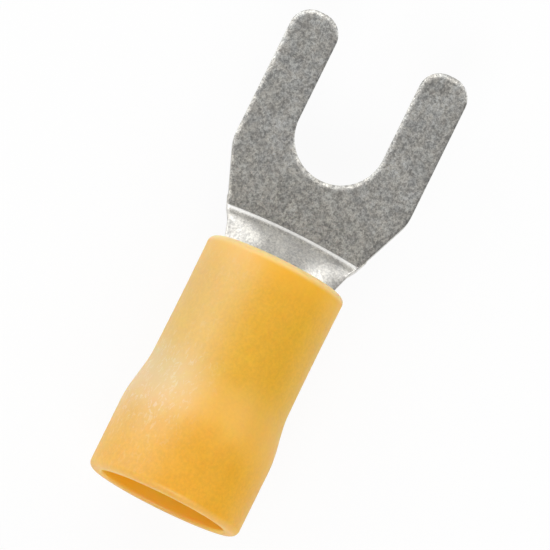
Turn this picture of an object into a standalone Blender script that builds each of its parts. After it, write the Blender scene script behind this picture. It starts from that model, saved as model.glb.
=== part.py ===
"""Fork crimp terminal in an insulating sleeve, lying on its sleeve.

Metres, +Z up. The wire mouth is at -X and the fork points along +X. The
origin lies under the middle of the part, on the surface that it rests on.
Places along the part are measured from the plane of the mouth.
"""
import math

import bmesh
import bpy

# Stamped and rolled terminal
SHEET = 0.0010
TONGUE_WIDTH = 0.0090
SLOT_WIDTH = 0.0043
SLOT_DEPTH = 0.00705
TIP_CROWN = 0.00027
SHOULDER_RADIUS = 0.0019
WEB_LENGTH = 0.00283
CREASE_WIDTH = 0.00675
CREASE_BOW = 0.00012
TONGUE_DROP = 0.0006
EDGE_ROUND = 0.0001

# Neck between the flat tongue and the rolled barrel
NECK_SHOWING = 0.00165
NECK_PITCH = math.radians(45.0)
NECK_WAIST = 0.0049
BEND_MARGIN = 0.00015
COIN_STEP = 0.00003
NECK_SET_IN = 0.00005
NECK_ROOT = 0.0005
FLAT_CURVATURE = 0.1

# Rolled barrel, seam underneath
BARREL_BORE = 0.0035
BARREL_START = 0.0046
BARREL_CHAMFER = 0.00025
SEAM_GAP = 0.0001
SERRATION_PITCH = 0.0015
SERRATION_WIDTH = 0.0004
SERRATION_DEPTH = 0.0001

# Insulating sleeve
SLEEVE_LENGTH = 0.01215
SLEEVE_WALL = 0.00065
SLEEVE_FIT = 0.00005
MOUTH_DIAMETER = 0.0076
MOUTH_WALL = 0.0007
FLARE_START = 0.0063
FLARE_END = 0.0034
FORK_LIP = 0.00018
MOUTH_LIP = 0.0003

# Fineness of the solids
TURN_STEPS = 48
ARC_STEPS = 8
LIP_STEPS = 4
FLARE_STEPS = 8
NECK_ACROSS = 20
NECK_STEP = 0.0003

BARREL_DIAMETER = BARREL_BORE + 2 * SHEET
SLEEVE_BORE = BARREL_DIAMETER + 2 * SLEEVE_FIT
SLEEVE_DIAMETER = SLEEVE_BORE + 2 * SLEEVE_WALL
CREASE_AT = SLEEVE_LENGTH + NECK_SHOWING
SLOT_END_AT = CREASE_AT + WEB_LENGTH
TIP_AT = SLOT_END_AT + SLOT_DEPTH
AXIS_HEIGHT = max(MOUTH_DIAMETER, SLEEVE_DIAMETER) / 2
TONGUE_HEIGHT = AXIS_HEIGHT - TONGUE_DROP
TIP_RADIUS = ((TONGUE_WIDTH - SLOT_WIDTH) / 2 - TIP_CROWN) / 2
TAPER = (TONGUE_WIDTH - CREASE_WIDTH) / 2 / WEB_LENGTH
RIDGE_RISE = (BARREL_BORE + SHEET) / 2 + TONGUE_DROP
BARREL_CURVATURE = 2 / (BARREL_BORE + SHEET)
WAIST_TURN = NECK_WAIST / 2 * BARREL_CURVATURE
WAIST_DEPTH = (1 - math.cos(WAIST_TURN)) / BARREL_CURVATURE + SHEET / 2 * math.cos(WAIST_TURN)
BARREL_BEND = WAIST_DEPTH + BEND_MARGIN
BARREL_END = CREASE_AT - RIDGE_RISE / math.tan(NECK_PITCH) - BARREL_BEND * math.tan(NECK_PITCH / 2)


def along(place):
    """X of a place that is measured from the plane of the mouth."""
    return place - TIP_AT / 2


def clear_scene():
    for thing in list(bpy.data.objects):
        bpy.data.objects.remove(thing, do_unlink=True)


def new_collection(name):
    group = bpy.data.collections.new(name)
    bpy.context.scene.collection.children.link(group)
    return group


def new_material(name, colour, roughness, metallic):
    material = bpy.data.materials.new(name)
    material.use_nodes = True
    shader = material.node_tree.nodes["Principled BSDF"]
    shader.inputs["Base Color"].default_value = (*colour, 1.0)
    shader.inputs["Roughness"].default_value = roughness
    shader.inputs["Metallic"].default_value = metallic
    return material


def new_object(name, data, group):
    thing = bpy.data.objects.new(name, data)
    group.objects.link(thing)
    return thing


def make_helper(thing):
    """Mark a piece that is joined to or cut from another one."""
    thing.hide_render = True
    thing.display_type = "WIRE"


def combine(thing, other, operation):
    step = thing.modifiers.new(operation.lower() + "_" + other.name, "BOOLEAN")
    step.operation = operation
    step.solver = "EXACT"
    step.object = other


def smooth(mesh):
    mesh.shade_smooth()
    mesh.set_sharp_from_angle(angle=math.radians(35.0))


def fillet(before, corner, after, radius, steps):
    """Points of the arc that rounds a corner between two straight runs."""
    if radius <= 0.0:
        return [corner]
    ux, uy = before[0] - corner[0], before[1] - corner[1]
    vx, vy = after[0] - corner[0], after[1] - corner[1]
    u_length = math.hypot(ux, uy)
    v_length = math.hypot(vx, vy)
    ux, uy, vx, vy = ux / u_length, uy / u_length, vx / v_length, vy / v_length
    half = math.acos(max(-1.0, min(1.0, ux * vx + uy * vy))) / 2
    mx, my = ux + vx, uy + vy
    m_length = math.hypot(mx, my)
    reach = radius / math.sin(half)
    cx, cy = corner[0] + mx / m_length * reach, corner[1] + my / m_length * reach
    tangent = radius / math.tan(half)
    start = math.atan2(corner[1] + uy * tangent - cy, corner[0] + ux * tangent - cx)
    stop = math.atan2(corner[1] + vy * tangent - cy, corner[0] + vx * tangent - cx)
    sweep = (stop - start + math.pi) % (2 * math.pi) - math.pi
    turns = [start + sweep * i / steps for i in range(steps + 1)]
    return [(cx + radius * math.cos(turn), cy + radius * math.sin(turn)) for turn in turns]


def rounded(corners, closed=True, steps=ARC_STEPS):
    """A run of (x, y, radius) corners with each corner rounded."""
    points = []
    count = len(corners)
    for i, (x, y, radius) in enumerate(corners):
        if not closed and i in (0, count - 1):
            points.append((x, y))
            continue
        before = corners[i - 1][:2]
        after = corners[(i + 1) % count][:2]
        points.extend(fillet(before, (x, y), after, radius, steps))
    return drop_repeats(points, closed)


def drop_repeats(points, closed):
    """Leave out a point that lies on the one before it."""
    kept = [points[0]]
    for point in points[1:]:
        if math.dist(point, kept[-1]) > 1e-7:
            kept.append(point)
    if closed and math.dist(kept[0], kept[-1]) <= 1e-7:
        kept.pop()
    return kept


def tongue_outline():
    """Half of the outline runs from the crease to the slot, and is mirrored."""
    crease_end = CREASE_AT - CREASE_BOW
    crease_half = CREASE_WIDTH / 2 - TAPER * CREASE_BOW
    side = [
        (crease_end, crease_half, 0.0),
        (SLOT_END_AT, TONGUE_WIDTH / 2, SHOULDER_RADIUS),
        (TIP_AT, TONGUE_WIDTH / 2, TIP_RADIUS),
        (TIP_AT, SLOT_WIDTH / 2, TIP_RADIUS),
        (SLOT_END_AT, SLOT_WIDTH / 2, SLOT_WIDTH / 2),
    ]
    other_side = [(x, -y, radius) for x, y, radius in reversed(side)]
    outline = rounded(side + other_side)
    bow = []
    for i in range(1, ARC_STEPS):
        across = -1 + 2 * i / ARC_STEPS
        bow.append((CREASE_AT - CREASE_BOW * across * across, across * crease_half))
    return [(along(x), y) for x, y in outline + bow]


def mesh_from_outline(name, points, half_thickness, group):
    """A flat plate from a closed outline, as a mesh whose caps are welded."""
    curve = bpy.data.curves.new(name + "_outline", "CURVE")
    curve.dimensions = "2D"
    curve.fill_mode = "BOTH"
    curve.extrude = half_thickness
    spline = curve.splines.new("POLY")
    spline.points.add(len(points) - 1)
    for point, (x, y) in zip(spline.points, points):
        point.co = (x, y, 0.0, 1.0)
    spline.use_cyclic_u = True
    guide = new_object(name + "_outline", curve, group)
    guide.location.z = TONGUE_HEIGHT
    bpy.context.view_layer.update()
    evaluated = guide.evaluated_get(bpy.context.evaluated_depsgraph_get())
    mesh = bpy.data.meshes.new_from_object(evaluated)
    plate = new_object(name, mesh, group)
    plate.matrix_world = guide.matrix_world.copy()
    bpy.data.objects.remove(guide, do_unlink=True)
    welded = bmesh.new()
    welded.from_mesh(mesh)
    bmesh.ops.remove_doubles(welded, verts=welded.verts, dist=1e-7)
    welded.to_mesh(mesh)
    welded.free()
    return plate


def ridge_line():
    """Middle line of the neck's sheet, from inside the tongue to inside the barrel.

    Each point is (place, height over the tongue).
    """
    knee = CREASE_AT - RIDGE_RISE / math.tan(NECK_PITCH)
    corners = [
        (CREASE_AT + NECK_ROOT, 0.0, 0.0),
        (CREASE_AT, 0.0, 0.0),
        (knee, RIDGE_RISE, BARREL_BEND),
        (BARREL_END - NECK_ROOT, RIDGE_RISE, 0.0),
    ]
    line = rounded(corners, closed=False)
    fine = [line[0]]
    for point in line[1:]:
        last = fine[-1]
        pieces = max(1, math.ceil(math.dist(point, last) / NECK_STEP))
        for i in range(1, pieces + 1):
            share = i / pieces
            fine.append((last[0] + (point[0] - last[0]) * share, last[1] + (point[1] - last[1]) * share))
    return fine


def mitre(line, i):
    """Upward normal at a point of the ridge, lengthened so that the sheet keeps its thickness."""
    before = line[max(i - 1, 0)]
    here = line[i]
    after = line[min(i + 1, len(line) - 1)]
    first = math.atan2(here[1] - before[1], before[0] - here[0]) if i > 0 else 0.0
    second = math.atan2(after[1] - here[1], here[0] - after[0]) if i < len(line) - 1 else 0.0
    lean = (first + second) / 2
    stretch = 1 / math.cos((second - first) / 2)
    return math.sin(lean) * stretch, math.cos(lean) * stretch


def neck_section(half_width, curvature):
    """Closed section of the bent sheet, as (across, up) from its ridge."""
    half_sheet = SHEET / 2 - COIN_STEP
    section = []
    for side in (half_sheet, -half_sheet):
        for j in range(NECK_ACROSS + 1):
            share = 2 * j / NECK_ACROSS - 1
            turn = half_width * curvature * (share if side > 0 else -share)
            across = math.sin(turn) * (1 / curvature + side)
            up = (math.cos(turn) - 1) / curvature + side * math.cos(turn)
            section.append((across, up))
    return section


def neck_half_width(reach):
    """Half of the flat blank's width: it narrows from the crease to the sleeve's end."""
    crease_half = CREASE_WIDTH / 2 - NECK_SET_IN
    if reach < 0.0:
        return crease_half + TAPER * reach
    share = min(1.0, reach * math.cos(NECK_PITCH) / NECK_SHOWING)
    return crease_half + (NECK_WAIST / 2 - crease_half) * share


def neck_curvature(height, half_width):
    """Curvature that keeps the sheet's sides about level with the tongue.

    It eases to the barrel's own curvature as a hyperbolic tangent.
    """
    level = math.tanh(2 * height / half_width ** 2 / BARREL_CURVATURE)
    full = math.tanh(2 * RIDGE_RISE / (NECK_WAIST / 2) ** 2 / BARREL_CURVATURE)
    return max(FLAT_CURVATURE, BARREL_CURVATURE * level / full)


def build_neck(group):
    """Loft of the sheet from its flat crease to the arc of the barrel."""
    line = ridge_line()
    reach = -NECK_ROOT
    shape = bmesh.new()
    rings = []
    for i, (place, height) in enumerate(line):
        if i > 0:
            reach += math.dist(line[i - 1], line[i])
        half_width = neck_half_width(reach)
        curvature = neck_curvature(height, half_width)
        lean_x, lean_z = mitre(line, i)
        ring = []
        for across, up in neck_section(half_width, curvature):
            ring.append(shape.verts.new((along(place) + lean_x * up, across, height + lean_z * up)))
        rings.append(ring)
    for near, far in zip(rings, rings[1:]):
        for j in range(len(near)):
            k = (j + 1) % len(near)
            shape.faces.new((near[j], near[k], far[k], far[j]))
    for ring in (rings[0], rings[-1]):
        for j in range(NECK_ACROSS):
            shape.faces.new((ring[j], ring[j + 1], ring[-2 - j], ring[-1 - j]))
    bmesh.ops.recalc_face_normals(shape, faces=shape.faces)
    mesh = bpy.data.meshes.new("neck")
    shape.to_mesh(mesh)
    shape.free()
    neck = new_object("neck", mesh, group)
    neck.location.z = TONGUE_HEIGHT
    make_helper(neck)
    return neck


def turned(name, profile, group):
    """A closed (radius, place) profile turned about the terminal's own axis.

    The profile runs along its outer side from the fork end to the mouth end,
    and back along its bore.
    """
    mesh = bpy.data.meshes.new(name)
    verts = [(radius, 0.0, along(place)) for radius, place in profile]
    edges = [(i, (i + 1) % len(profile)) for i in range(len(profile))]
    mesh.from_pydata(verts, edges, [])
    thing = new_object(name, mesh, group)
    thing.rotation_euler = (0.0, math.pi / 2, 0.0)
    thing.location.z = AXIS_HEIGHT
    turn = thing.modifiers.new("turn", "SCREW")
    turn.axis = "Z"
    turn.angle = 2 * math.pi
    turn.steps = TURN_STEPS
    turn.render_steps = TURN_STEPS
    turn.use_merge_vertices = True
    turn.merge_threshold = 1e-6
    turn.use_smooth_shade = True
    return thing


def barrel_profile():
    outer = BARREL_DIAMETER / 2
    bore = BARREL_BORE / 2
    profile = [
        (outer, BARREL_END),
        (outer, BARREL_START + BARREL_CHAMFER),
        (outer - BARREL_CHAMFER, BARREL_START),
        (bore + BARREL_CHAMFER, BARREL_START),
        (bore, BARREL_START + BARREL_CHAMFER),
    ]
    free_from = BARREL_START + BARREL_CHAMFER
    free_to = BARREL_END - NECK_ROOT
    grooves = int((free_to - free_from) / SERRATION_PITCH)
    for i in range(grooves):
        centre = (free_from + free_to) / 2 + (i - (grooves - 1) / 2) * SERRATION_PITCH
        profile.append((bore, centre - SERRATION_WIDTH / 2))
        profile.append((bore + SERRATION_DEPTH, centre - SERRATION_WIDTH / 4))
        profile.append((bore + SERRATION_DEPTH, centre + SERRATION_WIDTH / 4))
        profile.append((bore, centre + SERRATION_WIDTH / 2))
    profile.append((bore, BARREL_END))
    return profile


def build_barrel(group):
    barrel = turned("barrel", barrel_profile(), group)
    bpy.ops.mesh.primitive_cube_add(size=1.0)
    seam = bpy.context.object
    seam.name = "barrel_seam"
    for owner in list(seam.users_collection):
        owner.objects.unlink(seam)
    group.objects.link(seam)
    length = BARREL_END - BARREL_START
    seam.scale = (2 * length, SEAM_GAP, BARREL_DIAMETER / 2)
    seam.location = (along(BARREL_START + length / 2), 0.0, AXIS_HEIGHT - BARREL_DIAMETER / 2)
    make_helper(seam)
    combine(barrel, seam, "DIFFERENCE")
    make_helper(barrel)
    return barrel


def build_terminal(group, helpers, material):
    """Tongue, neck and barrel are one stamped and rolled piece."""
    terminal = mesh_from_outline("fork_terminal", tongue_outline(), SHEET / 2, group)
    edges = terminal.modifiers.new("tumbled_edges", "BEVEL")
    edges.width = EDGE_ROUND
    edges.segments = 2
    edges.limit_method = "ANGLE"
    edges.angle_limit = math.radians(50.0)
    combine(terminal, build_neck(helpers), "UNION")
    combine(terminal, build_barrel(helpers), "UNION")
    terminal.data.materials.append(material)
    smooth(terminal.data)
    return terminal


def flare(start_radius, end_radius):
    """Radius eases from the barrel part to the mouth part, as a half cosine."""
    points = []
    for i in range(FLARE_STEPS + 1):
        share = i / FLARE_STEPS
        ease = (1 - math.cos(math.pi * share)) / 2
        place = FLARE_START + (FLARE_END - FLARE_START) * share
        points.append((start_radius + (end_radius - start_radius) * ease, place, 0.0))
    return points


def sleeve_profile():
    outer = SLEEVE_DIAMETER / 2
    bore = SLEEVE_BORE / 2
    mouth_outer = MOUTH_DIAMETER / 2
    mouth_bore = mouth_outer - MOUTH_WALL
    corners = [(outer, SLEEVE_LENGTH, FORK_LIP)]
    corners += flare(outer, mouth_outer)
    corners += [(mouth_outer, 0.0, MOUTH_LIP), (mouth_bore, 0.0, MOUTH_LIP)]
    corners += list(reversed(flare(bore, mouth_bore)))
    corners += [(bore, SLEEVE_LENGTH, FORK_LIP)]
    return rounded(corners, steps=LIP_STEPS)


def build_sleeve(group, material):
    sleeve = turned("insulating_sleeve", sleeve_profile(), group)
    sleeve.data.materials.append(material)
    return sleeve


def main():
    clear_scene()
    parts = new_collection("fork_terminal_part")
    helpers = new_collection("joined_and_cut_shapes")
    tin = new_material("tinned_copper", (0.42, 0.42, 0.40), 0.45, 1.0)
    vinyl = new_material("yellow_vinyl", (0.85, 0.48, 0.05), 0.40, 0.0)
    build_terminal(parts, helpers, tin)
    build_sleeve(parts, vinyl)


main()
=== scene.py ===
"""Fork crimp terminal with an insulating sleeve: its finish, light and camera.

Metres, +Z up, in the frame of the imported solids: the wire mouth is at -X and
the fork points along +X. Lengths along the part are counted from the mouth.
"""
import math

import bmesh
import bpy
import numpy as np
from mathutils import Matrix, Vector


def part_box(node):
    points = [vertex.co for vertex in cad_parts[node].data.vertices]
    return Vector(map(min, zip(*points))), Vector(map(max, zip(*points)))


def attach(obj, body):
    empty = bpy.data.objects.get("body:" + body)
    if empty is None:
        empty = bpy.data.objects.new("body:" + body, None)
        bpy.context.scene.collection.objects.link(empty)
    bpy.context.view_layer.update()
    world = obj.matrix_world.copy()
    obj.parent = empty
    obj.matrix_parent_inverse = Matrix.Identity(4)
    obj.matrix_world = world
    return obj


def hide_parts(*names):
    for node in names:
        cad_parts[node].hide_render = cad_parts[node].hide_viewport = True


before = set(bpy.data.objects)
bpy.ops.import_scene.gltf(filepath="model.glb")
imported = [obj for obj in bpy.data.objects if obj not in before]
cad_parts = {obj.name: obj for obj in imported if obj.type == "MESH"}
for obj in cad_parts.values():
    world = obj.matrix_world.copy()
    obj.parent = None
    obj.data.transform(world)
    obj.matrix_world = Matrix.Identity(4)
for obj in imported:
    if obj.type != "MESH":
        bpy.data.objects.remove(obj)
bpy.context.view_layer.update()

# Places read from the solids
SLEEVE_LOW, SLEEVE_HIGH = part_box("insulating_sleeve")
METAL_LOW, METAL_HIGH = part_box("fork_terminal")
MOUTH_X = SLEEVE_LOW.x
AXIS_Z = (SLEEVE_LOW.z + SLEEVE_HIGH.z) / 2
SLEEVE_LENGTH = SLEEVE_HIGH.x - MOUTH_X
TIP_AT = METAL_HIGH.x - MOUTH_X

# Tongue, its punched outline and the section of its edge
SHEET = 0.0010
TONGUE_HALF = 0.0045
SLOT_HALF = 0.00215
TIP_RADIUS = 0.00104
SHOULDER_RADIUS = 0.0019
WEB_LENGTH = 0.00283
CREASE_HALF = 0.003375
CREASE_BOW = 0.00017
TONGUE_DROP = 0.0006
TONGUE_LAP = 0.0001
ROLL_WIDTH = 0.00027
ROLL_SLOPE = math.radians(24.0)
ROLL_FADE = 0.0006
ROLL_LEAST = 0.04
FLAT_BAND = 0.00004
CORNER_ROUND = 0.00003
BURR_ROUND = 0.00004
OUTLINE_SPACING = 0.0002
ROLL_POINTS = 13
ROUND_POINTS = 5
ARC_STEPS = 24

# Neck
NECK_SHOWING = 0.00165
NECK_PITCH = math.radians(41.0)
NECK_SET_IN = 0.00002
NECK_ROOT = 0.0007
NECK_WAIST_HALF = 0.00240
NECK_FLAT = 0.00045
NECK_ROLLED_BY = 0.65
NECK_EDGE_ROUND = 0.00014
COIN_STEP = 0.000012
FOLD_BACK = 0.00014
FOLD_RADIUS = 0.0010
LINE_AHEAD = 0.00020
LEAST_CURVATURE = 0.1
RIDGE_SPACING = 0.0001
ACROSS_POINTS = 49
EDGE_POINTS = 13

# Barrel
BARREL_BORE_RADIUS = 0.00175
BARREL_RADIUS = BARREL_BORE_RADIUS + SHEET
BARREL_START = 0.0046
BARREL_CHAMFER = 0.00025
BARREL_POINTS = 145
SEAM_GAP = 0.00006
BEND_MARGIN = 0.00015
SERRATION_PITCH = 0.0015
SERRATION_WIDTH = 0.0004
SERRATION_DEPTH = 0.0001
SERRATION_SHAPE = ((-0.5, 0.0), (-0.25, 1.0), (0.25, 1.0), (0.5, 0.0))

# Insulating sleeve
SLEEVE_RADIUS = 0.00345
SLEEVE_BORE_RADIUS = 0.0028
MOUTH_RADIUS = 0.0038
MOUTH_BORE_RADIUS = 0.0031
FLARE_START = 0.0063
FLARE_END = 0.0034
FORK_LIP_OUTER = 0.00036
FORK_LIP_INNER = 0.00018
MOUTH_LIP_OUTER = 0.00034
MOUTH_LIP_INNER = 0.00014
WAIST_DEPTH = 0.00002
OUTER_POINTS = 120
BORE_POINTS = 100
LIP_POINTS = 13
SLEEVE_SIDES = 192

# Edges steeper than this, in degrees, stay sharp
METAL_SHARP = 11.0
VINYL_SHARP = 40.0
# Points nearer than these are one
SAME_POINT = 1e-7
DOUBLE_POINT = 1e-8

# Tin plating: size, detail, roughness and distortion of each noise, and the tones
TIN_NOISES = {
    "grain": (0.00014, 4.0, 0.65, 0.4),
    "fleck": (0.00008, 2.0, 0.6),
    "patch": (0.0007, 3.0, 0.6),
    "cloud": (0.0016, 3.0, 0.55),
    "tint": (0.00045, 2.0, 0.6),
    "speck": (0.00022, 2.0, 0.7),
}
TIN_DULL = (0.605, 0.603, 0.58)
TIN_CLEAN = (0.695, 0.695, 0.68)
TIN_BEIGE = (0.68, 0.645, 0.59)
TIN_WARM = (0.56, 0.53, 0.47)
TIN_DRAWN = (0.77, 0.765, 0.75)
# Painted highlight on the fold line: its middle and its sides
TIN_FOLD_HIGHLIGHT_MIDDLE = (0.56, 0.555, 0.54)
TIN_FOLD_HIGHLIGHT_SIDE = (0.78, 0.775, 0.76)
TIN_SPECK = (0.86, 0.86, 0.84)
BLACK = (0.0, 0.0, 0.0)
WARM_PAST_SLOT = 0.002
DRAWN_FADE = 0.0004
LINE_FULL_MM = 0.04
LINE_EDGE_MM = 0.12
# Painted shade on the tongue's sides and underside: full below the first depth under the top,
# none above the second
EDGE_SHADE_FROM = 0.00005
EDGE_SHADE_TO = 0.00001

# Vinyl: its noises in the same order, its tones and where they lie
VINYL_NOISES = {
    "cloud": (0.0022, 3.0, 0.5),
    "mottle": (0.0004, 2.0, 0.6),
    "skin": (0.00015, 3.0, 0.6),
}
VINYL_MARKS = (0.00022, 3.0, 0.7, 1.2)
VINYL_DEEP = (0.81, 0.438, 0.004)
VINYL_LIGHT = (0.85, 0.470, 0.007)
VINYL_MOTTLE = (0.885, 0.50, 0.02)
# Painted highlight around the step to the mouth
VINYL_STEP_HIGHLIGHT = (0.98, 0.55, 0.04)
VINYL_END = (0.965, 0.525, 0.015)
# Painted sheen on the upper flank at +Y
VINYL_PAINTED_SHEEN = (0.83, 0.645, 0.36)
# Painted highlight on the fork end's rim
VINYL_RIM_HIGHLIGHT = (0.95, 0.68, 0.32)
VINYL_SCUFF = (0.90, 0.76, 0.56)
# The vinyl's orange inside the bore, painted brighter as painted light through the wall
VINYL_INSIDE_PAINTED_LIGHT = (1.0, 0.53, 0.012)
VINYL_TRIMMED = (0.74, 0.47, 0.20)
# Darker towards the bottom at the mouth's end
VINYL_DARKER_LOW_END = (0.66, 0.38, 0.12)
# Middle and reach of the band about the step, which carries the painted highlight and scuffs
STEP_BAND_AT = 0.0046
STEP_BAND_REACH_MM = 3.1

# Camera, from the photograph's view
CAMERA_TILT = math.radians(7.0)
CAMERA_ROLL = math.radians(26.3)
CAMERA_DISTANCE = 0.8
SENSOR_WIDTH = 36.0
PIXELS = 550
PIXELS_PER_MM = 21.7
AIM = (-0.0001, -0.00004)

# Studio: azimuth from the fork towards +Y, elevation, size and brightness of each soft box
WORLD_LEVEL = 0.31
BOX_DISTANCE = 0.5
SOFT_BOXES = {
    "left": (77.0, 27.0, 0.46, 1.34),
    "left_fork": (31.0, 38.0, 0.45, 0.8),
    "fork": (0.0, 40.0, 0.40, 0.63),
    "right_fork": (320.0, 25.0, 0.32, 1.6),
    "right_mouth": (214.0, 38.0, 0.25, 2.7),
    "mouth": (178.0, 50.0, 0.25, 3.8),
}
FLOOR_HALF = 1.5
FLOOR_CARD = 0.9
FLOOR_GLOW_SHARE = 0.92

# Places that follow from the sizes
CREASE_AT = SLEEVE_LENGTH + NECK_SHOWING
FOLD_AT = CREASE_AT - FOLD_BACK
FOLD_LINE_AT = FOLD_AT + LINE_AHEAD
SLOT_END_AT = CREASE_AT + WEB_LENGTH
TONGUE_Z = AXIS_Z - TONGUE_DROP
TAPER = (TONGUE_HALF - CREASE_HALF) / WEB_LENGTH
RIDGE_RISE = BARREL_BORE_RADIUS + SHEET / 2 + TONGUE_DROP
RIDGE_RUN = RIDGE_RISE / math.tan(NECK_PITCH)
BARREL_CURVATURE = 1 / (BARREL_BORE_RADIUS + SHEET / 2)
WAIST_TURN = NECK_WAIST_HALF * BARREL_CURVATURE
WAIST_SAG = (1 - math.cos(WAIST_TURN)) / BARREL_CURVATURE
BARREL_BEND = WAIST_SAG + SHEET / 2 * math.cos(WAIST_TURN) + BEND_MARGIN
BARREL_END = FOLD_AT - RIDGE_RUN - BARREL_BEND * math.tan(NECK_PITCH / 2)
MM = 1000.0


class Signal:
    """A shader value: Python's operators on it add Math nodes."""

    def __init__(self, nodes, socket):
        self.nodes = nodes
        self.socket = socket

    def _math(self, operation, *values):
        values = dict(enumerate(values))
        return self.nodes.add("ShaderNodeMath", {"operation": operation}, values)

    def __add__(self, other):
        return self._math("ADD", self, other)

    def __radd__(self, other):
        return self._math("ADD", other, self)

    def __sub__(self, other):
        return self._math("SUBTRACT", self, other)

    def __rsub__(self, other):
        return self._math("SUBTRACT", other, self)

    def __mul__(self, other):
        return self._math("MULTIPLY", self, other)

    def __rmul__(self, other):
        return self._math("MULTIPLY", other, self)

    def __truediv__(self, other):
        return self._math("DIVIDE", self, other)

    def __rtruediv__(self, other):
        return self._math("DIVIDE", other, self)

    def at_most(self, other):
        return self._math("MINIMUM", self, other)


class Nodes:
    """Adds nodes to one material or world."""

    def __init__(self, tree):
        self.tree = tree
        tree.nodes.clear()

    def add(self, kind, settings=None, values=None, output=0):
        """A node of a kind, with its settings first and then its socket values or links."""
        node = self.tree.nodes.new(kind)
        for name, value in (settings or {}).items():
            setattr(node, name, value)
        for key, value in (values or {}).items():
            if isinstance(value, Signal):
                self.tree.links.new(value.socket, node.inputs[key])
            else:
                node.inputs[key].default_value = value
        return Signal(self, node.outputs[output]) if len(node.outputs) else None

    def place(self, centre, scale=(1.0, 1.0, 1.0)):
        """Object coordinates, counted from a centre and scaled."""
        point = self.add("ShaderNodeTexCoord", output="Object")
        subtract, multiply = {"operation": "SUBTRACT"}, {"operation": "MULTIPLY"}
        moved = self.add("ShaderNodeVectorMath", subtract, {0: point, 1: centre})
        return self.add("ShaderNodeVectorMath", multiply, {0: moved, 1: scale})

    def axis(self, vector, letter):
        return self.add("ShaderNodeSeparateXYZ", None, {"Vector": vector}, output=letter)

    def noise(self, vector, size, detail, roughness, distortion=0.0):
        """Noise from 0 to 1 whose grains are about the given size in metres."""
        return self.add(
            "ShaderNodeTexNoise",
            {"noise_dimensions": "3D"},
            {
                "Vector": vector,
                "Scale": 1.0 / size,
                "Detail": detail,
                "Roughness": roughness,
                "Distortion": distortion,
            },
            output="Fac",
        )

    def mix(self, factor, first, second, blend="MIX"):
        """One colour laid over another; a plain colour is red, green and blue."""
        first, second = (
            colour if isinstance(colour, Signal) else (*colour, 1.0) for colour in (first, second)
        )
        return self.add(
            "ShaderNodeMix",
            {"data_type": "RGBA", "blend_type": blend},
            {"Factor": factor, 6: first, 7: second},
            output=2,
        )

    def varied(self, colour, share, low, high):
        """A colour multiplied by one that runs from low to high with a share."""
        return self.mix(1.0, colour, self.mix(share, low, high), "MULTIPLY")

    def spread(self, signal, low, high, to_low=0.0, to_high=1.0, kind="SMOOTHSTEP"):
        """A value carried from one range to another, and held at its ends."""
        return self.add(
            "ShaderNodeMapRange",
            {"interpolation_type": kind, "clamp": True},
            {
                "Value": signal,
                "From Min": low,
                "From Max": high,
                "To Min": to_low,
                "To Max": to_high,
            },
        )

    def bump(self, height, distance, strength, below=None):
        """Bumps of a height times the distance, over the bumps below."""
        values = {"Height": height, "Distance": distance, "Strength": strength}
        if below is not None:
            values["Normal"] = below
        return self.add("ShaderNodeBump", None, values)


def new_material(name):
    material = bpy.data.materials.new(name)
    material.use_nodes = True
    return material, Nodes(material.node_tree)


def finish_material(nodes, values):
    """A Principled shader with its values, linked to the material's output."""
    shader = nodes.add("ShaderNodeBsdfPrincipled", None, values, output="BSDF")
    nodes.add("ShaderNodeOutputMaterial", None, {"Surface": shader})


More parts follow.
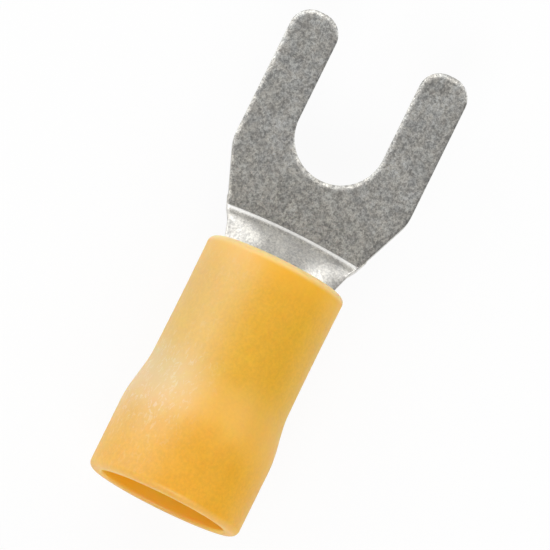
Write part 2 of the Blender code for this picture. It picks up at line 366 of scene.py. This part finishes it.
def tin_material():
    """Matte tin plating.

    Crystal speckle lies over faint warm and cool clouds. The fold line is
    rubbed smooth and carries a painted highlight, the neck is drawn paler with half the speckle,
    and the tongue's sides and underside past the fold carry painted shade.
    """
    material, nodes = new_material("matte_tin_plating")
    point = nodes.place((MOUTH_X, 0.0, TONGUE_Z))
    x, y, z = (nodes.axis(point, letter) for letter in "XYZ")
    noise = {name: nodes.noise(point, *grain) for name, grain in TIN_NOISES.items()}

    # Clouds, the warmer web and the drawn neck
    tone = nodes.mix(nodes.spread(noise["cloud"], 0.3, 0.7), TIN_DULL, TIN_CLEAN)
    tone = nodes.mix(nodes.spread(noise["tint"], 0.35, 0.65, 0.0, 0.6), tone, TIN_BEIGE)
    warm = nodes.spread(x, CREASE_AT, SLOT_END_AT + WARM_PAST_SLOT, 0.5, 0.0)
    tone = nodes.mix(warm, tone, TIN_WARM)
    drawn = nodes.spread(x, FOLD_LINE_AT - DRAWN_FADE, FOLD_LINE_AT, 0.3, 0.0)
    tone = nodes.mix(drawn, tone, TIN_DRAWN)
    patches = nodes.spread(noise["patch"], 0.32, 0.68)
    tone = nodes.varied(tone, patches, (0.90, 0.90, 0.905), (1.10, 1.10, 1.09))

    # Painted highlight along the fold line, bowed like the crease, on the upper face only; the
    # line is also rubbed smooth
    side = y / CREASE_HALF
    off_line = (x - FOLD_LINE_AT) * MM + side * side * (CREASE_BOW * MM)
    fold_highlight_and_rub = nodes.spread(off_line * off_line, LINE_FULL_MM**2, LINE_EDGE_MM**2, 1.0, 0.0)
    fold_highlight_and_rub = fold_highlight_and_rub * nodes.spread(z, 0.0, 0.0001)

    # Speckle
    on_tongue = nodes.spread(x, FOLD_LINE_AT - DRAWN_FADE, FOLD_LINE_AT, 0.5, 1.0)
    speckled = on_tongue * (1.0 - fold_highlight_and_rub * 0.7)
    coarse = nodes.spread(noise["grain"], 0.30, 0.70)
    coarse = nodes.varied(tone, coarse, (0.55, 0.55, 0.555), (1.40, 1.40, 1.38))
    tone = nodes.mix(speckled, tone, coarse)
    fine = nodes.spread(noise["fleck"], 0.32, 0.70)
    fine = nodes.varied(tone, fine, (0.80, 0.80, 0.80), (1.26, 1.26, 1.26))
    tone = nodes.mix(speckled, tone, fine)

    # Painted highlight on the fold line, dimmer in its middle than at its sides
    line = nodes.mix((side * side).at_most(1.0), TIN_FOLD_HIGHLIGHT_MIDDLE, TIN_FOLD_HIGHLIGHT_SIDE)
    tone = nodes.mix(fold_highlight_and_rub * 0.7, tone, line)
    # Painted shade: the tongue's sides and underside past the fold are darkened towards black
    below_top = nodes.spread(z, SHEET / 2 - EDGE_SHADE_FROM, SHEET / 2 - EDGE_SHADE_TO, 0.24, 0.0)
    painted_edge_shade = below_top * nodes.spread(x, FOLD_LINE_AT, FOLD_LINE_AT + 0.0003)
    tone = nodes.mix(painted_edge_shade, tone, BLACK)
    tone = nodes.mix(nodes.spread(noise["speck"], 0.66, 0.74, 0.0, 0.5), tone, TIN_SPECK)

    rough = nodes.spread(noise["fleck"], 0.3, 0.7, 0.40, 0.28)
    still = 1.0 - fold_highlight_and_rub * 0.6
    pits = nodes.bump(noise["fleck"] * still, 0.000003, 0.7)
    crystals = nodes.bump(noise["grain"] * still, 0.000007, 0.7, below=pits)
    values = {"Base Color": tone, "Metallic": 1.0, "Roughness": rough, "Normal": crystals}
    finish_material(nodes, values)
    return material


def vinyl_material():
    """Orange yellow vinyl that lets light in, with a satin skin.

    It has a painted highlight around the step to the mouth, and painted sheen
    on its upper flank at +Y, where it is also scuffed. It is brighter towards the fork's end,
    with a painted highlight on that rim; the inside is its full orange painted brighter as
    painted light, and the mouth's cut end is dull and darker towards the bottom.
    """
    material, nodes = new_material("satin_yellow_vinyl")
    point = nodes.place((MOUTH_X, 0.0, AXIS_Z))
    x, y, z = (nodes.axis(point, letter) for letter in "XYZ")
    noise = {name: nodes.noise(point, *grain) for name, grain in VINYL_NOISES.items()}
    drift = noise["cloud"] - 0.5

    # Body colour
    tone = nodes.mix(nodes.spread(noise["cloud"], 0.3, 0.7), VINYL_DEEP, VINYL_LIGHT)
    tone = nodes.mix(nodes.spread(noise["mottle"], 0.3, 0.7, 0.0, 0.35), tone, VINYL_MOTTLE)
    dust = nodes.spread(noise["skin"], 0.3, 0.7)
    tone = nodes.varied(tone, dust, (0.95, 0.95, 0.90), (1.05, 1.05, 1.10))

    # Painted highlight around the step, and painted sheen on the upper flank at +Y, where real
    # scuffs lie
    from_step = (x - STEP_BAND_AT) * MM + drift * 2.0
    nearness = nodes.spread(from_step * from_step, 0.0, STEP_BAND_REACH_MM**2, 1.0, 0.0, "LINEAR")
    step_band = nearness * nearness
    step_highlight = step_band * step_band
    # Painted highlight around the step to the mouth
    tone = nodes.mix(step_highlight * 0.5, tone, VINYL_STEP_HIGHLIGHT)
    # Brighter orange towards the fork's end
    toward_fork_end = nodes.spread(x, SLEEVE_LENGTH - 0.0018, SLEEVE_LENGTH - 0.0003, 0.0, 0.75)
    tone = nodes.mix(toward_fork_end, tone, VINYL_END)
    # Painted sheen on the flank at +Y, stronger on top, towards the fork and near the step; the
    # scuffs lie there too
    sheen_and_wear_side = nodes.spread(y * MM + drift * 1.5, -0.7, 2.6)
    upper = nodes.spread(z, -0.001, 0.0015, 0.35, 1.0)
    to_fork = nodes.spread(x, 0.001, 0.008, 0.18, 0.38)
    painted_sheen = (step_highlight * 0.11 + sheen_and_wear_side * upper * (step_band * 0.46 + to_fork)).at_most(1.0)
    tone = nodes.mix(painted_sheen, tone, VINYL_PAINTED_SHEEN)
    # Painted highlight on the fork end's rim
    rim_highlight = nodes.spread(x, SLEEVE_LENGTH - 0.00045, SLEEVE_LENGTH - 0.00008, 0.0, 0.9)
    tone = nodes.mix(rim_highlight, tone, VINYL_RIM_HIGHLIGHT)
    marks = nodes.noise(nodes.place((MOUTH_X, 0.0, AXIS_Z), (0.5, 1.0, 1.0)), *VINYL_MARKS)
    scuffs = nodes.spread(marks, 0.54, 0.66) * sheen_and_wear_side * upper
    scuffs = scuffs * (step_band + 0.2).at_most(1.0)
    tone = nodes.mix((scuffs * 0.6).at_most(1.0), tone, VINYL_SCUFF)

    # Inside and mouth
    across = nodes.place((MOUTH_X, 0.0, AXIS_Z), (0.0, 1.0, 1.0))
    length = {"operation": "LENGTH"}
    off_axis = nodes.add("ShaderNodeVectorMath", length, {0: across}, output="Value")
    bore = MOUTH_BORE_RADIUS
    # Inside the bore: the vinyl's orange, painted brighter as painted light through the wall
    inside = nodes.spread(off_axis, bore - 0.00002, bore + 0.00012, 1.0, 0.0)
    tone = nodes.mix(inside, tone, VINYL_INSIDE_PAINTED_LIGHT)
    trimmed = nodes.spread(off_axis, bore + 0.0001, bore + 0.0004)
    trimmed = trimmed * nodes.spread(x, 0.00005, 0.00035, 0.28, 0.0)
    tone = nodes.mix(trimmed, tone, VINYL_TRIMMED)
    # Darker towards the bottom at the mouth's end
    darker_low_end = nodes.spread(z, -0.003, -0.001, 0.55, 0.0)
    darker_low_end = darker_low_end * nodes.spread(x, 0.00005, 0.0003, 1.0, 0.0)
    tone = nodes.mix(darker_low_end, tone, VINYL_DARKER_LOW_END)

    rough = nodes.spread(noise["mottle"], 0.3, 0.7, 0.44, 0.52) - scuffs * 0.1
    orange_peel = nodes.bump(noise["skin"] + scuffs, 0.000010, 0.5)
    uneven = nodes.bump(noise["cloud"], 0.00003, 0.5, below=orange_peel)
    values = {
        "Base Color": tone,
        "Roughness": rough,
        "Normal": uneven,
        "IOR": 1.53,
        "Specular IOR Level": 0.8,
        "Subsurface Weight": 1.0,
        "Subsurface Radius": (1.0, 0.5, 0.12),
        "Subsurface Scale": 0.0009,
    }
    finish_material(nodes, values)
    return material


def along(place):
    """X of a place that is counted from the mouth."""
    return MOUTH_X + place


def new_piece(name, verts, faces, material):
    """A mesh object at the origin, from arrays of points and of faces."""
    mesh = bpy.data.meshes.new(name)
    mesh.from_pydata(np.asarray(verts).tolist(), [], [list(face) for face in faces])
    mesh.materials.append(material)
    mesh.update()
    piece = bpy.data.objects.new(name, mesh)
    bpy.context.scene.collection.objects.link(piece)
    return piece


def grid_faces(rows, columns, wrap_rows=False, wrap_columns=False):
    """Quads of a grid of points, as an array of four point numbers each."""
    row = np.arange(rows if wrap_rows else rows - 1)
    column = np.arange(columns if wrap_columns else columns - 1)
    i, j = np.meshgrid(row, column, indexing="ij")
    k, m = (i + 1) % rows, (j + 1) % columns
    corners = [i * columns + j, k * columns + j, k * columns + m, i * columns + m]
    return np.stack(corners, -1).reshape(-1, 4)


def tube_piece(name, rings, material):
    """Closed body from rings of points: the first and the last ring are closed by a face."""
    rows, count = rings.shape[:2]
    faces = list(grid_faces(rows, count, wrap_columns=True))
    faces.append(np.arange(count))
    faces.append(np.arange(count)[::-1] + (rows - 1) * count)
    return new_piece(name, rings.reshape(-1, 3), faces, material)


def turned(radius, place, turn):
    """Points of a profile at each turn about the terminal's axis, where 0 is up."""
    y = np.sin(turn)[:, None] * radius
    z = np.cos(turn)[:, None] * radius + AXIS_Z
    x = np.broadcast_to(along(place), y.shape)
    return np.stack([x, y, z], -1)


def fillet(before, corner, after, radius):
    """Arc of a radius tangent to both runs that meet at a corner."""
    corner = np.array(corner, float)
    u = np.array(before, float) - corner
    v = np.array(after, float) - corner
    u /= np.linalg.norm(u)
    v /= np.linalg.norm(v)
    half = math.acos(np.clip(u @ v, -1, 1)) / 2
    middle = (u + v) / np.linalg.norm(u + v)
    centre = corner + middle * radius / math.sin(half)
    reach = radius / math.tan(half)
    first = corner + u * reach - centre
    last = corner + v * reach - centre
    start = math.atan2(first[1], first[0])
    sweep = (math.atan2(last[1], last[0]) - start + math.pi) % (2 * math.pi) - math.pi
    turn = start + sweep * np.linspace(0, 1, ARC_STEPS + 1)
    return list(zip(centre[0] + radius * np.cos(turn), centre[1] + radius * np.sin(turn)))


def rounded(corners, closed):
    """Run through (x, y, radius) corners, each rounded by its radius unless that is 0."""
    points = []
    count = len(corners)
    for i, (x, y, radius) in enumerate(corners):
        if radius <= 0.0:
            points.append((x, y))
            continue
        points += fillet(corners[i - 1][:2], (x, y), corners[(i + 1) % count][:2], radius)
    points = np.array(points)
    gap = np.linalg.norm(np.roll(points, -1, 0) - points, axis=1)
    keep = gap > SAME_POINT
    if not closed:
        keep[-1] = True
    return points[keep]


def resampled(points, spacing):
    """The same open line with points no further apart than a spacing."""
    fine = []
    for start, stop in zip(points[:-1], points[1:]):
        pieces = max(1, math.ceil(np.linalg.norm(stop - start) / spacing))
        share = np.arange(pieces)[:, None] / pieces
        fine.append(start + (stop - start) * share)
    return np.vstack(fine + [points[-1:]])


def tongue_outline():
    """Taper, shoulders, tines and slot as straight runs joined by arcs.

    The end at the crease lies inside the neck's sheet. The edge roll's share
    grows from its least at that end's corners to one, by three times the square
    less twice the cube of the distance over the fade.
    """
    end = FOLD_AT + TONGUE_LAP
    half = CREASE_HALF - TAPER * (CREASE_AT - end)
    side = [
        (end, half, 0.0),
        (SLOT_END_AT, TONGUE_HALF, SHOULDER_RADIUS),
        (TIP_AT, TONGUE_HALF, TIP_RADIUS),
        (TIP_AT, SLOT_HALF, TIP_RADIUS),
        (SLOT_END_AT, SLOT_HALF, SLOT_HALF),
    ]
    other = [(x, -y, radius) for x, y, radius in reversed(side)]
    outline = resampled(rounded(side + other, True), OUTLINE_SPACING)
    corners = np.array([(end, half), (end, -half)])
    reach = np.linalg.norm(outline[:, None] - corners, axis=2).min(1)
    fade = np.clip(reach / ROLL_FADE, 0, 1)
    roll = fade * fade * (3 - 2 * fade)
    return outline, np.maximum(roll, ROLL_LEAST)


def inward_normals(outline):
    """Unit normals that point into a closed outline, whichever way round it runs."""
    ahead = np.roll(outline, -1, 0) - np.roll(outline, 1, 0)
    ahead /= np.linalg.norm(ahead, axis=1, keepdims=True)
    normal = np.stack([-ahead[:, 1], ahead[:, 0]], 1)
    x, y = outline.T
    area = np.sum(x * np.roll(y, -1) - y * np.roll(x, -1))
    return normal if area > 0 else -normal


def edge_section():
    """Inset and drop of the sheet's edge, from the flat top over the side to the underside.

    The punched edge is drawn down by an arc that ends at the roll's slope. A
    small round turns it into the straight side, and another ends that at the burr.
    """
    radius = ROLL_WIDTH / math.sin(ROLL_SLOPE)
    slope = np.linspace(0, ROLL_SLOPE, ROLL_POINTS)[:-1]
    start = CORNER_ROUND * (1 - math.sin(ROLL_SLOPE))
    inset = start + ROLL_WIDTH - radius * np.sin(slope)
    arc = np.stack([inset, radius * (1 - np.cos(slope))], 1)
    turn = np.linspace(ROLL_SLOPE, math.pi / 2, ROUND_POINTS)
    drawn = radius * (1 - math.cos(ROLL_SLOPE))
    depth = drawn + CORNER_ROUND * (math.cos(ROLL_SLOPE) - np.cos(turn))
    corner = np.stack([CORNER_ROUND * (1 - np.sin(turn)), depth], 1)
    under = np.linspace(0, math.pi / 2, ROUND_POINTS)
    depth = SHEET - BURR_ROUND * (1 - np.sin(under))
    burr = np.stack([BURR_ROUND * (1 - np.cos(under)), depth], 1)
    top = (arc[0, 0] + FLAT_BAND, 0.0)
    bottom = (BURR_ROUND + FLAT_BAND, SHEET)
    return np.vstack([[top], arc, corner, burr, [bottom]])


def tongue_solid(material):
    """The outline carries the edge section, shrunk where the roll fades out.

    A point is the outline's point plus the section's inset, times the roll,
    along the inward normal. In the sheet's upper half its drop below the top is
    the section's times the roll. In the lower half its height over the
    underside is.
    """
    outline, roll = tongue_outline()
    normal = inward_normals(outline)
    inset, drop = edge_section().T
    above = (drop < SHEET / 2)[:, None]
    flat = outline[None] + normal[None] * (inset[:, None] * roll)[..., None]
    height = np.where(above, -drop[:, None] * roll, (SHEET - drop[:, None]) * roll - SHEET)
    rings = np.concatenate([flat, height[..., None] + SHEET / 2], -1)
    rings[..., 0] += MOUTH_X
    rings[..., 2] += TONGUE_Z
    return tube_piece("tongue", rings, material)


def ridge_line():
    """Middle line of the neck's sheet: level, up the pitch, and level again by an arc."""
    corners = [
        (FOLD_AT + NECK_ROOT, 0.0, 0.0),
        (FOLD_AT, 0.0, FOLD_RADIUS),
        (FOLD_AT - RIDGE_RUN, RIDGE_RISE, BARREL_BEND),
        (BARREL_END - NECK_ROOT, RIDGE_RISE, 0.0),
    ]
    return resampled(rounded(corners, False), RIDGE_SPACING)


def sheet_section(half_width, curvature, widening):
    """Closed section of the bent sheet, with its two side edges rounded.

    A flat strip's point (y, h) goes to (1/k + h) times (sin ky, cos ky), less
    1/k in height, where k is the curvature. Before that, y grows by the
    widening times h.
    """
    half_sheet = SHEET / 2 - COIN_STEP
    turn = np.linspace(math.pi / 2, 0, EDGE_POINTS)
    edge_y = half_width - NECK_EDGE_ROUND * (1 - np.cos(turn))
    edge_h = half_sheet - NECK_EDGE_ROUND * (1 - np.sin(turn))
    face_y = np.linspace(-edge_y[0], edge_y[0], ACROSS_POINTS)
    top_h = np.full(ACROSS_POINTS - 1, half_sheet)
    y = [face_y[:-1], edge_y, edge_y[::-1], -face_y[1:-1], -edge_y, -edge_y[::-1][:-1]]
    h = [top_h, edge_h, -edge_h[::-1], -top_h[1:], -edge_h, edge_h[::-1][:-1]]
    y, h = np.concatenate(y), np.concatenate(h)
    turn = y * (1 + widening * h) * curvature
    return (1 / curvature + h) * np.sin(turn), (1 / curvature + h) * np.cos(turn) - 1 / curvature


def neck_half_width(place):
    """Half width of the neck in plan: the tongue's taper, then a straight run to the waist."""
    past = CREASE_AT - place
    share = np.clip(past / NECK_SHOWING, 0, 1)
    crease_half = CREASE_HALF - NECK_SET_IN
    narrowing = (NECK_WAIST_HALF - crease_half) * share
    return crease_half + narrowing + TAPER * np.maximum(-past, 0.0)


def neck_solid(material):
    """Sections of the sheet set square to the ridge line, flat at the crease.

    The curvature stays at its least for a flat run past the root. From there it
    grows to the barrel's by three times the square less twice the cube of the
    share of the rolled part of the way. Each section's sides are set back to
    the mouth by the bow times the square of the share of the half width.
    """
    line = ridge_line()
    step = np.linalg.norm(np.diff(line, axis=0), axis=1)
    reach = np.concatenate([[0.0], np.cumsum(step)])
    way = (reach - NECK_ROOT - NECK_FLAT) / (reach[-1] - 2 * NECK_ROOT)
    share = np.clip(way / NECK_ROLLED_BY, 0, 1)
    curvature = np.maximum(LEAST_CURVATURE, BARREL_CURVATURE * share * share * (3 - 2 * share))
    lean = np.arctan2(np.diff(line[:, 1]), -np.diff(line[:, 0]))
    before = np.concatenate([[0.0], lean])
    after = np.concatenate([lean, [0.0]])
    middle = (before + after) / 2
    stretch = 1 / np.cos((after - before) / 2)
    half = neck_half_width(line[:, 0])
    shift = np.sin(middle) * stretch * SHEET / 2
    gain = neck_half_width(line[:, 0] + shift) - neck_half_width(line[:, 0] - shift)
    widening = gain / half / SHEET
    rings = []
    for i, (place, rise) in enumerate(line):
        across, up = sheet_section(half[i], curvature[i], widening[i])
        back = CREASE_BOW * (across / half[i]) ** 2
        x = along(place) + math.sin(middle[i]) * stretch[i] * up - back
        z = TONGUE_Z + rise + math.cos(middle[i]) * stretch[i] * up
        rings.append(np.stack([x, across, z], 1))
    return tube_piece("neck", np.array(rings), material)


def barrel_solid(material):
    """The rolled tube: one section of the wall, turned from one side of the seam to the other.

    The bore's grooves are spaced evenly about the middle of its free length.
    """
    free_from = BARREL_START + BARREL_CHAMFER
    free_to = BARREL_END - NECK_ROOT
    profile = [
        (BARREL_RADIUS, BARREL_END),
        (BARREL_RADIUS, free_from),
        (BARREL_RADIUS - BARREL_CHAMFER, BARREL_START),
        (BARREL_BORE_RADIUS + BARREL_CHAMFER, BARREL_START),
        (BARREL_BORE_RADIUS, free_from),
    ]
    grooves = int((free_to - free_from) / SERRATION_PITCH)
    for i in range(grooves):
        centre = (free_from + free_to) / 2 + (i - (grooves - 1) / 2) * SERRATION_PITCH
        for offset, depth in SERRATION_SHAPE:
            radius = BARREL_BORE_RADIUS + depth * SERRATION_DEPTH
            profile.append((radius, centre + offset * SERRATION_WIDTH))
    profile.append((BARREL_BORE_RADIUS, BARREL_END))
    radius, place = np.array(profile).T
    half_turn = math.pi - SEAM_GAP / 2 / BARREL_RADIUS
    turn = np.linspace(-half_turn, half_turn, BARREL_POINTS)
    return tube_piece("barrel", turned(radius, place, turn), material)


def point_outwards(mesh):
    """Faces of a closed mesh all point out, and its doubles are merged."""
    shape = bmesh.new()
    shape.from_mesh(mesh)
    bmesh.ops.remove_doubles(shape, verts=shape.verts, dist=DOUBLE_POINT)
    bmesh.ops.recalc_face_normals(shape, faces=shape.faces)
    shape.to_mesh(mesh)
    shape.free()


def join_solids(base, others):
    """The others are joined to the base as one closed body, and are removed."""
    for piece in [base] + others:
        point_outwards(piece.data)
    for other in others:
        step = base.modifiers.new("join_" + other.name, "BOOLEAN")
        step.operation = "UNION"
        step.solver = "EXACT"
        step.object = other
    bpy.context.view_layer.update()
    evaluated = base.evaluated_get(bpy.context.evaluated_depsgraph_get())
    mesh = bpy.data.meshes.new_from_object(evaluated)
    base.modifiers.clear()
    base.data = mesh
    for other in others:
        bpy.data.objects.remove(other, do_unlink=True)


def shade(piece, sharp):
    """Smooth shading with sharp edges past an angle in degrees."""
    piece.data.shade_smooth()
    piece.data.set_sharp_from_angle(angle=math.radians(sharp))


def build_terminal():
    """The tongue, the neck and the barrel joined as one stamped piece."""
    material = tin_material()
    terminal = tongue_solid(material)
    join_solids(terminal, [neck_solid(material), barrel_solid(material)])
    terminal.name = "stamped_terminal"
    terminal.data.name = "stamped_terminal"
    shade(terminal, METAL_SHARP)
    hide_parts("fork_terminal")
    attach(terminal, "root")


def flare(place, start_radius, end_radius):
    """Radius at a place: a half cosine between the barrel part and the mouth part."""
    share = np.clip((FLARE_START - place) / (FLARE_START - FLARE_END), 0, 1)
    return start_radius + (end_radius - start_radius) * (1 - np.cos(math.pi * share)) / 2


def lip(start_radius, start_place, size, inward, endward):
    """Quarter circle from a side of the wall, at one radius, round to the wall's end."""
    turn = np.linspace(0, math.pi / 2, LIP_POINTS)
    radius = start_radius - inward * size * (1 - np.cos(turn))
    return np.stack([radius, start_place + endward * size * np.sin(turn)], 1)


def sleeve_profile():
    """Outer side from the fork end to the mouth, round the lips, and back along the bore.

    The outer side is the flare less a waist, which is its depth times the sine
    of half a turn times the share of the way from the flare to the fork end.
    """
    outer_from = SLEEVE_LENGTH - FORK_LIP_OUTER
    bore_to = SLEEVE_LENGTH - FORK_LIP_INNER
    place = np.linspace(outer_from, MOUTH_LIP_OUTER, OUTER_POINTS)[1:-1]
    share = np.clip((place - FLARE_START) / (SLEEVE_LENGTH - FLARE_START), 0, 1)
    waist = WAIST_DEPTH * np.sin(math.pi * share)
    outer = np.stack([flare(place, SLEEVE_RADIUS, MOUTH_RADIUS) - waist, place], 1)
    place = np.linspace(MOUTH_LIP_INNER, bore_to, BORE_POINTS)[1:-1]
    bore = np.stack([flare(place, SLEEVE_BORE_RADIUS, MOUTH_BORE_RADIUS), place], 1)
    return np.vstack(
        [
            outer,
            lip(MOUTH_RADIUS, MOUTH_LIP_OUTER, MOUTH_LIP_OUTER, 1, -1),
            lip(MOUTH_BORE_RADIUS, MOUTH_LIP_INNER, MOUTH_LIP_INNER, -1, -1)[::-1],
            bore,
            lip(SLEEVE_BORE_RADIUS, bore_to, FORK_LIP_INNER, -1, 1),
            lip(SLEEVE_RADIUS, outer_from, FORK_LIP_OUTER, 1, 1)[::-1],
        ]
    )


def build_sleeve():
    """The profile is turned about the terminal's axis."""
    radius, place = sleeve_profile().T
    turn = np.linspace(0, 2 * math.pi, SLEEVE_SIDES + 1)[:-1]
    verts = turned(radius, place, turn)
    faces = grid_faces(*verts.shape[:2], wrap_rows=True, wrap_columns=True)
    sleeve = new_piece("vinyl_sleeve", verts.reshape(-1, 3), faces, vinyl_material())
    point_outwards(sleeve.data)
    shade(sleeve, VINYL_SHARP)
    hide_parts("insulating_sleeve")
    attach(sleeve, "root")


def build_floor():
    """A wide white floor: near white to the camera and in reflections, else a pale card."""
    material, nodes = new_material("white_floor")
    seen = nodes.add("ShaderNodeLightPath", output="Is Camera Ray")
    for kind in ("Is Glossy Ray", "Is Transmission Ray"):
        seen = seen + nodes.add("ShaderNodeLightPath", output=kind)
    seen = seen.at_most(1.0)
    card_colour = (FLOOR_CARD, FLOOR_CARD, FLOOR_CARD, 1.0)
    card = nodes.add("ShaderNodeBsdfDiffuse", None, {"Color": card_colour})
    white = {"Color": (1.0, 1.0, 1.0, 1.0), "Strength": 1.0}
    glow = nodes.add("ShaderNodeEmission", None, white)
    shares = {0: seen * FLOOR_GLOW_SHARE, 1: card, 2: glow}
    both = nodes.add("ShaderNodeMixShader", None, shares)
    nodes.add("ShaderNodeOutputMaterial", None, {"Surface": both})
    signs = ((-1, -1), (1, -1), (1, 1), (-1, 1))
    verts = [(FLOOR_HALF * x, FLOOR_HALF * y, 0.0) for x, y in signs]
    floor = new_piece("floor", verts, [(0, 1, 2, 3)], material)


def build_world():
    """Even grey surroundings."""
    world = bpy.data.worlds.new("studio")
    bpy.context.scene.world = world
    world.use_nodes = True
    nodes = Nodes(world.node_tree)
    grey = {"Color": (WORLD_LEVEL, WORLD_LEVEL, WORLD_LEVEL, 1.0), "Strength": 1.0}
    back = nodes.add("ShaderNodeBackground", None, grey)
    nodes.add("ShaderNodeOutputWorld", None, {"Surface": back})


def soft_box(name, azimuth, elevation, size, brightness):
    """A square lamp that looks at the part; its brightness is its radiance, where 1 is white."""
    light = bpy.data.lights.new(name, "AREA")
    light.shape = "SQUARE"
    light.size = size
    light.energy = brightness * math.pi * size**2
    turn, rise = math.radians(azimuth), math.radians(elevation)
    flat = math.cos(rise)
    back = Vector((flat * math.cos(turn), flat * math.sin(turn), math.sin(rise)))
    box = bpy.data.objects.new(name, light)
    bpy.context.scene.collection.objects.link(box)
    box.location = Vector((0.0, 0.0, AXIS_Z)) + back * BOX_DISTANCE
    box.rotation_mode = "QUATERNION"
    box.rotation_quaternion = back.to_track_quat("Z", "Y")


def build_lamps():
    """A soft box for each row of the table."""
    for name, row in SOFT_BOXES.items():
        soft_box(name, *row)


def camera_axes():
    """Right, up and back of the camera.

    It looks down, tilted to the mouth, and is rolled so that the fork leans right.
    """
    fork = np.array([math.cos(CAMERA_TILT), 0.0, math.sin(CAMERA_TILT)])
    side = np.array([0.0, 1.0, 0.0])
    back = np.array([-math.sin(CAMERA_TILT), 0.0, math.cos(CAMERA_TILT)])
    up = math.cos(CAMERA_ROLL) * fork + math.sin(CAMERA_ROLL) * side
    right = math.sin(CAMERA_ROLL) * fork - math.cos(CAMERA_ROLL) * side
    return right, up, back


def build_camera():
    """A long lens from far off, so that the view's width is the photograph's."""
    right, up, back = camera_axes()
    camera = bpy.data.objects.new("camera", bpy.data.cameras.new("camera"))
    bpy.context.scene.collection.objects.link(camera)
    view_width = PIXELS / PIXELS_PER_MM / MM
    camera.data.sensor_width = SENSOR_WIDTH
    camera.data.lens = SENSOR_WIDTH * CAMERA_DISTANCE / view_width
    camera.data.clip_start = 0.01
    camera.data.clip_end = 10.0
    axes = Matrix([right.tolist(), up.tolist(), back.tolist()]).transposed()
    camera.rotation_mode = "QUATERNION"
    camera.rotation_quaternion = axes.to_quaternion()
    camera.location = np.array([*AIM, AXIS_Z]) + back * CAMERA_DISTANCE
    bpy.context.scene.camera = camera


build_camera()
build_terminal()
build_sleeve()
build_floor()
build_world()
build_lamps()

bpy.context.scene.view_settings.view_transform = "Standard"
